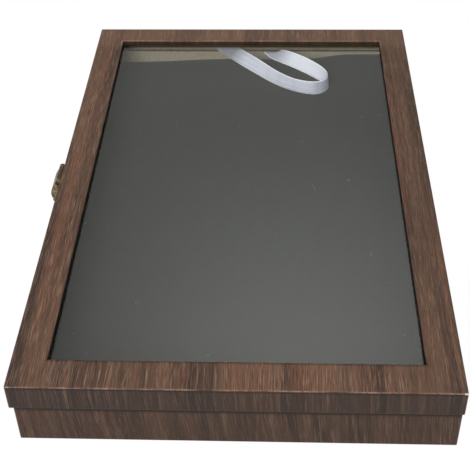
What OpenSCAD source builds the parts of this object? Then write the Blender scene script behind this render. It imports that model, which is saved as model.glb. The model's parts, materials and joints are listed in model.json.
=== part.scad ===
// Pin display case: a shallow tray under a hinged lid with a clear pane.
// Boards make the tray and the lid, and printed wood-grain paper covers both.
// A cloth-covered foam pad takes the pins, and a ribbon stays the open lid.
// X runs from the latch side to the hinge side, Y from the front to the back,
// and Z up from the foot. All sizes are in millimetres.

/* [Case] */
// Outside width of the lid, from the latch side to the hinge side
lid_w = 254; // [200:1:320]
// Outside length of the lid, from the front to the back
lid_d = 400; // [300:1:500]
// Height of the tray, from its foot to its rim
base_h = 28.5; // [25:0.5:40]
// Height of the lid
lid_h = 18; // [16:0.5:28]
// How far the lid stands proud of the tray on each side
overhang = 1.5; // [1.3:0.1:2.5]
// How far the lid sits towards the latch side
lid_shift = 0.7; // [0:0.1:1]
// Gap between the tray's rim and the closed lid
seam_gap = 0.3; // [0.2:0.05:0.6]

/* [Boards and paper] */
// Thickness of the tray's walls
wall_t = 5; // [4:0.1:7]
// Thickness of the lid's skirt
skirt_t = 5; // [4:0.1:7]
// Thickness of the lid's face boards
face_t = 3; // [2:0.1:4]
// Width of the lid's border around the window
border = 21; // [16:0.5:32]
// Thickness of the tray's floor
floor_t = 3; // [2:0.1:4]
// Thickness of the covering paper
paper_t = 0.3; // [0.2:0.05:0.5]
// Thickness of the sheet under the foot
foot_t = 0.4; // [0.3:0.05:0.8]
// How far the foot sheet stays inside the tray's edge
foot_inset = 2; // [1:0.5:4]
// Thickness of the card that lines the walls
lining_t = 0.8; // [0.5:0.1:1.2]
// How far the lining stops short of the tray's rim and the lid's lower edge
lining_margin = 0.6; // [0.4:0.1:1.2]

/* [Window] */
// Thickness of the clear pane
pane_t = 2; // [1.5:0.1:3]
// Room around the pane inside the skirt
pane_clear = 0.5; // [0.2:0.1:1]
// Width of the strips that hold the pane up
retainer_w = 6; // [4:0.5:8]
// Height of the strips that hold the pane up
retainer_h = 7; // [5:0.1:8]

/* [Pin pad] */
// Thickness of the board under the foam
pad_board_t = 2; // [1:0.1:3]
// Thickness of the foam
foam_t = 17; // [14:0.5:19]
// Thickness of the pad's cloth
cloth_t = 0.6; // [0.4:0.1:1]
// Rounding of the pad's upper edges
pad_round = 2.5; // [1.5:0.1:5]
// Room between the pad and the lining
pad_clear = 0.8; // [0.4:0.1:1.2]

/* [Ribbon] */
// Width of the ribbon
ribbon_w = 12; // [10:0.1:14]
// Thickness of the ribbon
ribbon_t = 0.4; // [0.3:0.05:0.5]
// Room around the ribbon where it is tucked in
ribbon_clear = 0.3; // [0.2:0.05:0.4]
// How far the ribbon's end goes down behind the tray's lining
ribbon_tuck = 8; // [5:0.5:12]
// How far the ribbon's loop reaches into the case
ribbon_loop = 60; // [45:1:75]
// Where the ribbon goes over the tray's back wall, from the middle
ribbon_x = 17; // [5:1:30]

/* [Hinges] */
// Distance of each hinge from the middle of the side
hinge_y = 120; // [80:1:140]
// Length of a hinge
hinge_len = 26; // [20:1:34]
// Length of each of the two knuckles on a tray leaf
hinge_knuckle = 8.4; // [6:0.1:9]
// Height of a hinge leaf
leaf_h = 10; // [8:0.5:12]
// Thickness of the hinge and latch plates
leaf_t = 0.8; // [0.6:0.1:1]
// Outside radius of a knuckle
knuckle_r = 1.5; // [1.3:0.1:1.8]
// Radius of a hinge or latch pin
pin_r = 0.6; // [0.5:0.05:0.8]
// Radial room of a pin in its knuckles
pin_clear = 0.04; // [0.02:0.01:0.08]
// Gap between knuckles, and between a knuckle and what it turns past
knuckle_gap = 0.3; // [0.2:0.05:0.4]

/* [Latch] */
// Place of the latch along its side, from the middle
latch_y = 0; // [-20:1:20]
// Width of the latch
latch_w = 19; // [17:0.5:24]
// Width of the hasp's own knuckle
hasp_knuckle_w = 10; // [8:0.5:11]
// Radius of the latch's knuckles
latch_knuckle_r = 2; // [1.5:0.1:2.2]
// How far the latch pin lies below the top of the lid
latch_drop = 3.9; // [3.5:0.1:6]
// How far the catch hook lies below the tray's rim
catch_drop = 2.6; // [2.5:0.1:5]
// How far the hasp reaches past its slot
hasp_tip = 5.5; // [5:0.5:8]
// How far down the hasp keeps its full width
hasp_body = 7; // [5:0.5:9]
// Radius of the hasp's round tip
hasp_tip_r = 5.5; // [5:0.1:6.5]
// Thickness of the hasp
hasp_t = 0.9; // [0.8:0.1:1.2]
// Outward bow of the hasp
hasp_bow = 3.8; // [2.5:0.1:4.2]
// How far the hasp hangs off its catch, in degrees
hasp_ajar = 13; // [12:1:25]
// Width of the hasp's slot
slot_w = 7; // [6:0.1:8]
// Height of the hasp's slot
slot_h = 4.6; // [4:0.1:6]
// Room between the catch hook and the slot, on each side
hook_clear = 1; // [0.6:0.1:1.2]
// How far the catch hook reaches past the closed hasp
hook_reach = 0.8; // [0.6:0.1:1.2]
// Thickness of the catch hook
hook_t = 1; // [0.8:0.1:1.4]
// Height of the catch plate
catch_h = 11; // [9:0.5:14]
// Width of the catch plate
catch_w = 16; // [14:0.5:20]
// Radius of the round end of the hasp's finger lip
lip_r = 1.1; // [0.8:0.1:1.5]

/* [Nails] */
// Radius of a nail's shank
nail_r = 0.5; // [0.4:0.05:0.6]
// Length of a nail under its head
nail_len = 4; // [3:0.5:4.5]
// Radius of a nail's head
nail_head_r = 1.3; // [1:0.1:1.6]
// Height of a nail's head
nail_head_h = 0.6; // [0.4:0.1:0.8]
// Radial room of a nail in its hole
nail_clear = 0.03; // [0.02:0.01:0.06]
// Distance of a nail from the ends of its plate
nail_edge = 3.2; // [2.5:0.1:4]

/* [Hidden] */
$fn = 48;
eps = 0.01;

// Heights, from the foot up
wall_z0 = foot_t + paper_t;
wall_z1 = base_h - paper_t;
floor_z1 = wall_z0 + floor_t;
board_z1 = floor_z1 + pad_board_t;
foam_z1 = board_z1 + foam_t;
pad_z1 = foam_z1 + cloth_t;
lid_z0 = base_h + seam_gap;
lid_z1 = lid_z0 + lid_h;
face_z1 = lid_z1 - paper_t;
face_z0 = face_z1 - face_t;
pane_z0 = face_z0 - pane_t;
retainer_z0 = pane_z0 - retainer_h;
tuck_gap = ribbon_t + 2 * ribbon_clear;
base_lining_z1 = base_h - lining_margin;
notch_z = base_h - paper_t - tuck_gap;

// Insets from the outer faces of the tray and the lid
base_w = lid_w - 2 * overhang;
base_d = lid_d - 2 * overhang;
wall_in = paper_t + wall_t;
skirt_in = paper_t + skirt_t;
pad_in = wall_in + lining_t + pad_clear;

// Where the lid's two long faces lie
lid_latch_x = lid_w / 2 + lid_shift;
lid_hinge_x = lid_w / 2 - lid_shift;
latch_over = overhang + lid_shift;

// Hinge pin line, just under the lid and just outside the tray
hinge_x = base_w / 2 + knuckle_gap + knuckle_r;
hinge_z = lid_z0 - knuckle_gap - knuckle_r;
leaf_nail_y = hinge_len / 2 - nail_edge;

// Latch pin line, and the hasp's lengths below it
latch_p = latch_knuckle_r + knuckle_gap / 2;
latch_z = lid_z1 - latch_drop;
hook_z = base_h - catch_drop;
slot_s = latch_z - hook_z;
hasp_len = slot_s + hasp_tip;
bow_r = (hasp_len * hasp_len / 4 + hasp_bow * hasp_bow) / (2 * hasp_bow);
shoulder_s = latch_knuckle_r + 2 * knuckle_gap;
bow_at_slot = hasp_bow - bow_r + sqrt(bow_r * bow_r - pow(slot_s - hasp_len / 2, 2));
hook_p = latch_p + bow_at_slot + hasp_t / 2 + hook_reach;
hook_w = slot_w - 2 * hook_clear;
hook_h = slot_h - 2 * hook_clear;
plate_h = leaf_h + shoulder_s;
plate_nail_y = latch_w / 2 - nail_edge;
catch_nail_y = catch_w / 2 - nail_edge;
catch_z1 = lid_z0 - 2 * knuckle_gap;
catch_nail_z = catch_z1 - catch_h + nail_edge;

// Ribbon route: its middle line, and its width as a share of the ribbon's own.
// Its first end is glued slantwise on the lid's back lining, cut off level under
// the pane strip. It stands on edge in a loop on the pad, then turns flat, goes
// through a notch in the tray's back lining and down behind it.
back_y = base_d / 2 - wall_in - lining_t;
lid_back_y = lid_d / 2 - skirt_in - lining_t;
on_pad = pad_z1 + ribbon_w / 2 + ribbon_clear;
tuck_y = back_y + lining_t + ribbon_clear + ribbon_t / 2;
over_z = notch_z + ribbon_clear + ribbon_t / 2;
function loop_at(x, y) = [x * ribbon_loop, back_y - y * ribbon_loop, on_pad];
stops = [
    [[-0.443 * ribbon_loop, lid_back_y - ribbon_t, retainer_z0 - ribbon_t], [1.68, 0, 0]],
    [
        [-0.345 * ribbon_loop, back_y - ribbon_t, retainer_z0 - 0.32 * ribbon_w],
        [0.8, 1.2 * overhang / ribbon_w, 0.55]
    ],
    [loop_at(-0.258, 0.043) - [0, 0, ribbon_w / 24], [0.68, 0.25, 0.69]],
    [loop_at(-0.133, 0.183) - [0, 0, ribbon_w / 24], [0.5, 0.3, 0.81]],
    [loop_at(0.1, 0.458), [0.33, 0.25, 0.91]],
    [loop_at(0.333, 0.717), [0.15, 0.12, 0.98]],
    [loop_at(0.567, 0.9), [0, 0, 1]],
    [loop_at(0.783, 0.983), [0, 0, 1]],
    [loop_at(0.95, 0.967), [-0.06, 0.06, 1]],
    [loop_at(1.042, 0.85), [-0.1, 0, 1]],
    [loop_at(1, 0.7), [0.08, 0.2, 0.98]],
    [loop_at(0.85, 0.508), [0.25, 0.33, 0.91]],
    [loop_at(0.65, 0.317), [0.36, 0.34, 0.87]],
    [loop_at(0.467, 0.167) - [0, 0, ribbon_w / 24], [0.48, 0.2, 0.85]],
    [loop_at(0.35, 0.075) - [0, 0, ribbon_w / 12], [0.75, 0.1, 0.65]],
    [[ribbon_x, back_y - 3 * ribbon_clear, over_z + ribbon_clear + ribbon_t / 2], [0.99, 0.05, 0.1]],
    [[ribbon_x, back_y + lining_t / 2, over_z], [1, 0, 0]],
    [[ribbon_x, tuck_y, notch_z - ribbon_clear], [1, 0, 0]],
    [[ribbon_x, tuck_y, notch_z - ribbon_tuck], [1, 0, 0]]
];
steps = 4;
tip_steps = 14;

board_colour = "#8a6a4c";
paper_colour = "#6b5447";
lining_colour = "#b4ab97";
brass_colour = "#71664f";

// A bar along one side of a w by d rectangle, between two insets from its
// edge and two heights, mitred at both ends
module side_bar(side, w, d, in0, in1, z0, z1) {
    across = side == "front" || side == "back" ? d : w;
    along = side == "front" || side == "back" ? w : d;
    turn = side == "front" ? 0 : side == "hinge" ? 90 : side == "back" ? 180 : 270;
    rotate([0, 0, turn])
        translate([0, -across / 2, z0])
            linear_extrude(z1 - z0)
                polygon([
                    [in0 - along / 2, in0], [along / 2 - in0, in0],
                    [along / 2 - in1, in1], [in1 - along / 2, in1]
                ]);
}

module base_bar(side, in0, in1, z0, z1) {
    side_bar(side, base_w, base_d, in0, in1, z0, z1);
}

module lid_bar(side, in0, in1, z0, z1) {
    translate([-lid_shift, 0, 0])
        side_bar(side, lid_w, lid_d, in0, in1, z0, z1);
}

module slab(w, d, z0, z1) {
    translate([-w / 2, -d / 2, z0])
        cube([w, d, z1 - z0]);
}

// A rod along Y, centred
module rod(r, length) {
    rotate([90, 0, 0])
        cylinder(r = r, h = length, center = true);
}

// A slab whose four upper edges are rounded
module soft_slab(w, d, z0, z1, r) {
    intersection() {
        translate([0, d / 2, 0])
            rotate([90, 0, 0])
                linear_extrude(d)
                    round_top(w, z0, z1, r);
        translate([-w / 2, 0, 0])
            rotate([90, 0, 90])
                linear_extrude(w)
                    round_top(d, z0, z1, r);
    }
}

module round_top(w, z0, z1, r) {
    translate([-w / 2, z0])
        square([w, z1 - z0 - r]);
    translate([r - w / 2, z0])
        square([w - 2 * r, z1 - z0]);
    for (end = [-1, 1])
        translate([end * (w / 2 - r), z1 - r])
            circle(r);
}

// Nails lie along X with their heads outward at x = 0
module nail() {
    dome_r = (nail_head_r * nail_head_r + nail_head_h * nail_head_h) / (2 * nail_head_h);
    rotate([0, 90, 0])
        rotate_extrude() {
            translate([0, -nail_len])
                square([nail_r, nail_len + nail_head_h / 2]);
            intersection() {
                square([nail_head_r, nail_head_h]);
                translate([0, nail_head_h - dome_r])
                    circle(dome_r);
            }
        }
}

module nail_hole() {
    rotate([0, -90, 0])
        cylinder(r = nail_r + nail_clear, h = 2 * (nail_len + nail_clear), center = true);
}

// Each set of nails: the two hinges' leaves on the tray and on the lid, the
// latch plate and the catch plate
module at_hinge_nails(x, z) {
    for (end = [-1, 1], side = [-1, 1])
        translate([x + leaf_t, end * hinge_y + side * leaf_nail_y, z])
            children();
}

module at_base_leaf_nails() {
    at_hinge_nails(base_w / 2, hinge_z - knuckle_r - knuckle_gap - leaf_h / 2)
        children();
}

module at_lid_leaf_nails() {
    at_hinge_nails(lid_hinge_x, lid_z0 + knuckle_gap + leaf_h / 2)
        children();
}

// The latch is drawn outward along X and set on the latch side
module on_latch_side() {
    translate([-lid_latch_x, latch_y, 0])
        rotate([0, 0, 180])
            children();
}

module at_plate_nails() {
    on_latch_side()
        for (side = [-1, 1])
            translate([leaf_t, side * plate_nail_y, latch_z - shoulder_s - leaf_h / 2])
                children();
}

module at_catch_nails() {
    on_latch_side()
        for (side = [-1, 1])
            translate([leaf_t - latch_over, side * catch_nail_y, catch_nail_z])
                children();
}

// Tray
module foot_sheet() {
    color("#3a3430")
        slab(base_w - 2 * foot_inset, base_d - 2 * foot_inset, 0, foot_t);
}

module base_floor() {
    color(board_colour)
        slab(base_w - 2 * wall_in, base_d - 2 * wall_in, wall_z0, floor_z1);
}

module base_wall(side) {
    color(board_colour)
        difference() {
            base_bar(side, paper_t, wall_in, wall_z0, wall_z1);
            if (side == "hinge")
                at_base_leaf_nails() nail_hole();
            if (side == "latch")
                at_catch_nails() nail_hole();
            if (side == "back")
                ribbon_pocket();
        }
}

// Room for the ribbon's end behind the back lining
module ribbon_pocket() {
    translate([
        ribbon_x - ribbon_w / 2 - ribbon_clear,
        base_d / 2 - wall_in - eps,
        notch_z - ribbon_tuck - ribbon_clear
    ])
        cube([ribbon_w + 2 * ribbon_clear, tuck_gap + eps, base_h]);
}

module base_wrap(side) {
    color(paper_colour)
        difference() {
            union() {
                base_bar(side, 0, paper_t, foot_t, base_h);
                base_bar(side, 0, wall_in, wall_z1, base_h);
                base_bar(side, 0, wall_in, foot_t, wall_z0);
            }
            if (side == "hinge")
                at_base_leaf_nails() nail_hole();
            if (side == "latch")
                at_catch_nails() nail_hole();
        }
}

module base_lining(side) {
    color(lining_colour)
        difference() {
            base_bar(side, wall_in, wall_in + lining_t, floor_z1, base_lining_z1);
            if (side == "back")
                ribbon_notch();
        }
}

// The ribbon's way through the tray's back lining
module ribbon_notch() {
    translate([ribbon_x - ribbon_w / 2 - ribbon_clear, back_y - eps, notch_z])
        cube([ribbon_w + 2 * ribbon_clear, lining_t + 2 * eps, base_h]);
}

// Pin pad
module pad_board() {
    color("#6f6a60")
        slab(base_w - 2 * pad_in, base_d - 2 * pad_in, floor_z1, board_z1);
}

module pad_foam() {
    color("#4a4a47")
        soft_slab(
            base_w - 2 * (pad_in + cloth_t), base_d - 2 * (pad_in + cloth_t),
            board_z1, foam_z1, pad_round - cloth_t
        );
}

module pad_cloth() {
    color("#585854")
        difference() {
            soft_slab(base_w - 2 * pad_in, base_d - 2 * pad_in, board_z1, pad_z1, pad_round);
            pad_foam();
        }
}

// Ribbon: a flat strip swept along its stops
function between(a, b, c, d, t) =
    0.5 * (2 * b + (c - a) * t + (2 * a - 5 * b + 4 * c - d) * t * t
        + (3 * b - a - 3 * c + d) * t * t * t);

function unit(v) = v / norm(v);

function route(which) = [
    for (i = [0 : len(stops) - 2], s = [0 : steps - 1])
        between(
            stops[max(i - 1, 0)][which], stops[i][which],
            stops[i + 1][which], stops[min(i + 2, len(stops) - 1)][which], s / steps
        ),
    stops[len(stops) - 1][which]
];

module stay_ribbon() {
    middle = route(0);
    width = route(1);
    last = len(middle) - 1;
    rings = [
        for (i = [0 : last])
            let (
                ahead = unit(middle[min(i + 1, last)] - middle[max(i - 1, 0)]),
                face = unit(cross(ahead, width[i])),
                side = width[i] * ribbon_w / 2,
                out = face * ribbon_t / 2
            )
            each [
                middle[i] - side - out, middle[i] + side - out,
                middle[i] + side + out, middle[i] - side + out
            ]
    ];
    color("#d3d4da")
        polyhedron(rings, [
            for (i = [0 : last - 1], k = [0 : 3])
                let (a = 4 * i + k, b = 4 * i + (k + 1) % 4)
                each [[a, b, b + 4], [a, b + 4, a + 4]],
            [2, 1, 0], [3, 2, 0],
            [4 * last, 4 * last + 1, 4 * last + 2], [4 * last, 4 * last + 2, 4 * last + 3]
        ]);
}

// Hinges
module hinge_pin(end) {
    color(brass_colour)
        translate([hinge_x, end * hinge_y, hinge_z])
            rod(pin_r, hinge_len);
}

// A stretch of a leaf, centred on y = 0: its outline seen along the pin
module leaf_stretch(length) {
    rotate([90, 0, 0])
        linear_extrude(length, center = true)
            children();
}

// A knuckle on its web, with the bore for the pin
module knuckle_outline(web_x, web_z) {
    difference() {
        union() {
            translate([hinge_x, hinge_z])
                circle(knuckle_r);
            translate([web_x, min(web_z, hinge_z)])
                square([leaf_t, abs(web_z - hinge_z)]);
            translate([min(web_x, hinge_x), hinge_z - leaf_t / 2])
                square([max(web_x + leaf_t, hinge_x) - min(web_x, hinge_x), leaf_t]);
        }
        translate([hinge_x, hinge_z])
            circle(pin_r + pin_clear);
    }
}

module hinge_base_leaf(end) {
    plate_z1 = hinge_z - knuckle_r - knuckle_gap;
    color(brass_colour)
        difference() {
            translate([0, end * hinge_y, 0]) {
                leaf_stretch(hinge_len)
                    translate([base_w / 2, plate_z1 - leaf_h])
                        square([leaf_t, leaf_h]);
                for (side = [-1, 1])
                    translate([0, side * (hinge_len - hinge_knuckle) / 2, 0])
                        leaf_stretch(hinge_knuckle)
                            knuckle_outline(base_w / 2, plate_z1 - knuckle_gap);
            }
            at_base_leaf_nails() nail_hole();
        }
}

module hinge_lid_leaf(end) {
    plate_z0 = lid_z0 + knuckle_gap;
    color(brass_colour)
        difference() {
            translate([0, end * hinge_y, 0]) {
                leaf_stretch(hinge_len)
                    translate([lid_hinge_x, plate_z0])
                        square([leaf_t, leaf_h]);
                leaf_stretch(hinge_len - 2 * hinge_knuckle - 2 * knuckle_gap)
                    knuckle_outline(lid_hinge_x, plate_z0 + knuckle_gap);
            }
            at_lid_leaf_nails() nail_hole();
        }
}

module hinge_base_nails() {
    color(brass_colour)
        at_base_leaf_nails() nail();
}

module hinge_lid_nails() {
    color(brass_colour)
        at_lid_leaf_nails() nail();
}

// Lid
module lid_face(side) {
    color(board_colour)
        lid_bar(side, paper_t, border - paper_t, face_z0, face_z1);
}

module lid_skirt(side) {
    color(board_colour)
        difference() {
            lid_bar(side, paper_t, skirt_in, lid_z0 + paper_t, face_z0);
            if (side == "hinge")
                at_lid_leaf_nails() nail_hole();
            if (side == "latch")
                at_plate_nails() nail_hole();
        }
}

module lid_wrap(side) {
    color(paper_colour)
        difference() {
            union() {
                lid_bar(side, 0, paper_t, lid_z0, lid_z1);
                lid_bar(side, 0, skirt_in, lid_z0, lid_z0 + paper_t);
                lid_bar(side, 0, border, face_z1, lid_z1);
                lid_bar(side, border - paper_t, border, face_z0, lid_z1);
            }
            if (side == "hinge")
                at_lid_leaf_nails() nail_hole();
            if (side == "latch")
                at_plate_nails() nail_hole();
        }
}

module window_pane() {
    inset = 2 * (skirt_in + pane_clear);
    color("#c8d2d2", 0.35)
        translate([-lid_shift, 0, 0])
            slab(lid_w - inset, lid_d - inset, pane_z0, face_z0);
}

module pane_strip(side) {
    color(board_colour)
        lid_bar(side, skirt_in, skirt_in + retainer_w, retainer_z0, pane_z0);
}

module lid_lining(side) {
    color(lining_colour)
        lid_bar(side, skirt_in, skirt_in + lining_t, lid_z0 + lining_margin, retainer_z0);
}

// Latch
module latch_bore() {
    translate([latch_p, 0, latch_z])
        rod(pin_r + pin_clear, 2 * latch_w);
}

module latch_plate() {
    ear = (latch_w - hasp_knuckle_w) / 2 - knuckle_gap;
    color(brass_colour)
        difference() {
            on_latch_side()
                difference() {
                    union() {
                        translate([0, -latch_w / 2, latch_z - plate_h])
                            cube([leaf_t, latch_w, plate_h - shoulder_s]);
                        for (side = [-1, 1])
                            translate([0, side * (latch_w - ear) / 2, latch_z]) {
                                translate([0, -ear / 2, -shoulder_s - eps])
                                    cube([leaf_t, ear, shoulder_s + eps]);
                                translate([latch_p, 0, 0])
                                    rod(latch_knuckle_r, ear);
                            }
                    }
                    latch_bore();
                }
            at_plate_nails() nail_hole();
        }
}

module latch_pin() {
    color(brass_colour)
        on_latch_side()
            translate([latch_p, 0, latch_z])
                rod(pin_r, latch_w);
}

module latch_nails() {
    color(brass_colour)
        at_plate_nails() nail();
}

// The hasp's plate, drawn smaller by an inset on its sides and round its tip. Its
// slanted sides touch the tip's arc where its radius leans by tip_lean.
module hasp_plate(inset) {
    tip_s = hasp_len - hasp_tip_r;
    body_x = latch_w / 2 - inset;
    tip_r = hasp_tip_r - inset;
    to_body = [body_x, tip_s - hasp_body];
    tip_lean = atan2(to_body.y, to_body.x) - acos(tip_r / norm(to_body));
    tip_turn = (180 + 2 * tip_lean) / tip_steps;
    polygon([
        [-body_x, -hasp_body], [-body_x, inset - shoulder_s],
        [body_x, inset - shoulder_s], [body_x, -hasp_body],
        for (i = [0 : tip_steps])
            let (a = tip_lean - i * tip_turn)
            [tip_r * cos(a), tip_r * sin(a) - tip_s]
    ]);
}

// The hasp's outline: its knuckle's tongue, and its plate with the slot
module hasp_outline() {
    translate([-hasp_knuckle_w / 2, -shoulder_s - eps])
        square([hasp_knuckle_w, shoulder_s + eps]);
    difference() {
        hasp_plate(0);
        translate([-slot_w / 2, -slot_s - slot_h / 2])
            square([slot_w, slot_h]);
    }
}

// A rod round the middle of the hasp's bow, and an outline raised out of its plane
module bow_rod(r, length) {
    translate([hasp_bow - bow_r, 0, -hasp_len / 2])
        rod(r, length);
}

module raised() {
    rotate([90, 0, 90])
        linear_extrude(bow_r)
            children();
}

// The hasp hung from a pin line at the origin: a bowed shell, with a rim that
// goes back to the bow's chord along its sides
module hasp_shell() {
    difference() {
        intersection() {
            bow_rod(bow_r + hasp_t / 2, 2 * latch_w);
            raised() hasp_outline();
        }
        intersection() {
            bow_rod(bow_r - hasp_t / 2, 3 * latch_w);
            translate([-hasp_t, 0, 0])
                raised() hasp_plate(hasp_t);
        }
    }
}

module latch_hasp() {
    color(brass_colour)
        on_latch_side()
            translate([latch_p, 0, latch_z])
                rotate([0, -hasp_ajar, 0])
                    difference() {
                        union() {
                            hasp_shell();
                            rod(latch_knuckle_r, hasp_knuckle_w);
                            translate([lip_r + hasp_t / 2, 0, lip_r - hasp_len])
                                rod(lip_r, slot_w);
                        }
                        rod(pin_r + pin_clear, 2 * latch_w);
                    }
}

// The catch: a plate on the tray with a hook that stands out through the slot
module catch_plate() {
    color(brass_colour)
        difference() {
            on_latch_side() {
                translate([-latch_over, -catch_w / 2, catch_z1 - catch_h])
                    cube([leaf_t, catch_w, catch_h]);
                translate([-latch_over, -hook_w / 2, hook_z + hook_h / 2 - hook_t])
                    cube([latch_over + hook_p, hook_w, hook_t]);
                translate([hook_p - hook_t, -hook_w / 2, hook_z - hook_h / 2])
                    cube([hook_t, hook_w, hook_h]);
            }
            at_catch_nails() nail_hole();
        }
}

module catch_nails() {
    color(brass_colour)
        at_catch_nails() nail();
}

foot_sheet();
base_floor();
base_wall("front");  // base_wall_front
base_wall("back");  // base_wall_back
base_wall("latch");  // base_wall_latch
base_wall("hinge");  // base_wall_hinge
base_wrap("front");  // base_wrap_front
base_wrap("back");  // base_wrap_back
base_wrap("latch");  // base_wrap_latch
base_wrap("hinge");  // base_wrap_hinge
base_lining("front");  // base_lining_front
base_lining("back");  // base_lining_back
base_lining("latch");  // base_lining_latch
base_lining("hinge");  // base_lining_hinge
pad_board();
pad_foam();
pad_cloth();
stay_ribbon();
hinge_base_leaf(-1);  // hinge_base_leaf_front
hinge_base_leaf(1);  // hinge_base_leaf_back
hinge_pin(-1);  // hinge_pin_front
hinge_pin(1);  // hinge_pin_back
hinge_base_nails();
catch_plate();
catch_nails();
lid_face("front");  // lid_face_front
lid_face("back");  // lid_face_back
lid_face("latch");  // lid_face_latch
lid_face("hinge");  // lid_face_hinge
lid_skirt("front");  // lid_skirt_front
lid_skirt("back");  // lid_skirt_back
lid_skirt("latch");  // lid_skirt_latch
lid_skirt("hinge");  // lid_skirt_hinge
lid_wrap("front");  // lid_wrap_front
lid_wrap("back");  // lid_wrap_back
lid_wrap("latch");  // lid_wrap_latch
lid_wrap("hinge");  // lid_wrap_hinge
window_pane();
pane_strip("front");  // pane_strip_front
pane_strip("back");  // pane_strip_back
pane_strip("latch");  // pane_strip_latch
pane_strip("hinge");  // pane_strip_hinge
lid_lining("front");  // lid_lining_front
lid_lining("back");  // lid_lining_back
lid_lining("latch");  // lid_lining_latch
lid_lining("hinge");  // lid_lining_hinge
hinge_lid_leaf(-1);  // hinge_lid_leaf_front
hinge_lid_leaf(1);  // hinge_lid_leaf_back
hinge_lid_nails();
latch_plate();
latch_pin();
latch_nails();
latch_hasp();
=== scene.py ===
# %% [markdown]
# # A pin display case
#
# The case is a shallow tray with a framed lid. Both are thin board, wrapped in paper that is printed
# like dark walnut. A clear pane fills the lid, a cloth-covered foam pad fills the tray, and a satin
# ribbon ties the two together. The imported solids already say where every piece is, so this lesson
# makes their skins and finishes. It loads the solids and never moves them.

import json

import bpy
import numpy as np
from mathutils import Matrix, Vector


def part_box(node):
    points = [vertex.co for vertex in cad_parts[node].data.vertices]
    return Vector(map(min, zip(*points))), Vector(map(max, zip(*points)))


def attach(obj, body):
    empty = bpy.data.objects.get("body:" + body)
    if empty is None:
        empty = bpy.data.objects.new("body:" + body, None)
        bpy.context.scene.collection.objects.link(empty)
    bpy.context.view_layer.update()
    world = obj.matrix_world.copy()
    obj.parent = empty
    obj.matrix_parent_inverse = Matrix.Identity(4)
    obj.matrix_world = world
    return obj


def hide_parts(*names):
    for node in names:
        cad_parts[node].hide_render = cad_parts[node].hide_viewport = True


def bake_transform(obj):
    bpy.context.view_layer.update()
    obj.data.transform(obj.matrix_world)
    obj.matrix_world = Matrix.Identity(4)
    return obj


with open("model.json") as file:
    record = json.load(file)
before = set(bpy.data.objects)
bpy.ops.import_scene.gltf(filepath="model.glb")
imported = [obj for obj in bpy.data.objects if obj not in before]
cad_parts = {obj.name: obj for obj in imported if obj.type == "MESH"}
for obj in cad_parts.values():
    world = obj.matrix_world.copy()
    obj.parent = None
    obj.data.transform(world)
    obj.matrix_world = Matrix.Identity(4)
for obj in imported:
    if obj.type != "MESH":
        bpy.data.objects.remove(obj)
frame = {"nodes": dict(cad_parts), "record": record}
nodes = frame["nodes"]
scene = bpy.context.scene
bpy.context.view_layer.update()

# %% [markdown]
# ## The camera
#
# A camera is a place, a turn and a lens. These numbers come from matching the corners of the lid, of
# its window and of the tray to the photograph. The camera comes first, because every later choice is
# judged through it.

# %% Camera
lens = bpy.data.cameras.new("case_camera")
lens.sensor_width = 36.0
lens.lens = 77.653
lens.clip_start = 0.01
camera = bpy.data.objects.new("case_camera", lens)
camera.location = (0.0205, -0.5658, 0.4675)
camera.rotation_euler = np.radians((49.754, 1.052, 2.032))
scene.collection.objects.link(camera)
scene.camera = camera
print("camera stands", round(camera.location.length, 3), "m from the middle of the foot")

# %% [markdown]
# ## From arrays to a piece
#
# Every new piece here is a lattice of points: rows one way, columns the other. Numpy works out all the
# points at once, and the mesh only has to be told which four points make each cell. A helper can also
# see to it that the cells face outwards: the volume that they close comes out negative when they don't.

# %% Lattice helpers
def cells_of(numbers, close_rows=False, close_columns=False):
    """Four point numbers for each cell of a lattice of point numbers: a cell joins a row to the next and
    a column to the next, and a closed direction also joins its last line to its first."""
    if close_rows:
        numbers = np.vstack([numbers, numbers[:1]])
    if close_columns:
        numbers = np.hstack([numbers, numbers[:, :1]])
    corners = [numbers[:-1, :-1], numbers[:-1, 1:], numbers[1:, 1:], numbers[1:, :-1]]
    return np.stack(corners, axis=-1).reshape(-1, 4)


def make_piece(name, points, cells, sheet_map=None):
    """A mesh object from points and cells. The closed volume is a sixth of the sum over all cells of
    a . (b x c + c x d), and where it is negative every cell is turned round. sheet_map holds a flat
    place for every corner of every cell."""
    points = points.reshape(-1, 3)
    a, b, c, d = (points[cells[:, k]] for k in range(4))
    volume = np.sum(a * (np.cross(b, c) + np.cross(c, d))) / 6
    if volume < 0:
        cells = cells[:, ::-1]
        sheet_map = None if sheet_map is None else sheet_map[:, ::-1]
    mesh = bpy.data.meshes.new(name)
    mesh.from_pydata(points.tolist(), [], cells.tolist())
    mesh.shade_smooth()
    if sheet_map is not None:
        layer = mesh.uv_layers.new(name="sheet")
        layer.uv.foreach_set("vector", np.ascontiguousarray(sheet_map, np.float32).ravel())
    piece = bpy.data.objects.new(name, mesh)
    scene.collection.objects.link(piece)
    print(name, len(points), "points", len(cells), "cells", round(abs(volume) * 1e6, 2), "cm3")
    return piece


def reach(*names):
    """The lowest and the highest corner that the named solids reach together."""
    corners = np.array([[tuple(corner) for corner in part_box(name)] for name in names])
    return corners[:, 0].min(axis=0), corners[:, 1].max(axis=0)


print("a lattice of 3 by 3 points has", len(cells_of(np.arange(9).reshape(3, 3))), "cells")

# %% [markdown]
# ## Finishes as sums
#
# A finish is a small network of nodes. Wiring it by hand hides the idea, so one class wraps a socket and
# turns plain arithmetic into Math nodes. Reflected forms, such as 1 - mask, work too. Another class holds
# the network. One of its methods adds any other node, and the rest are short names for nodes that every
# finish needs.

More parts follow.
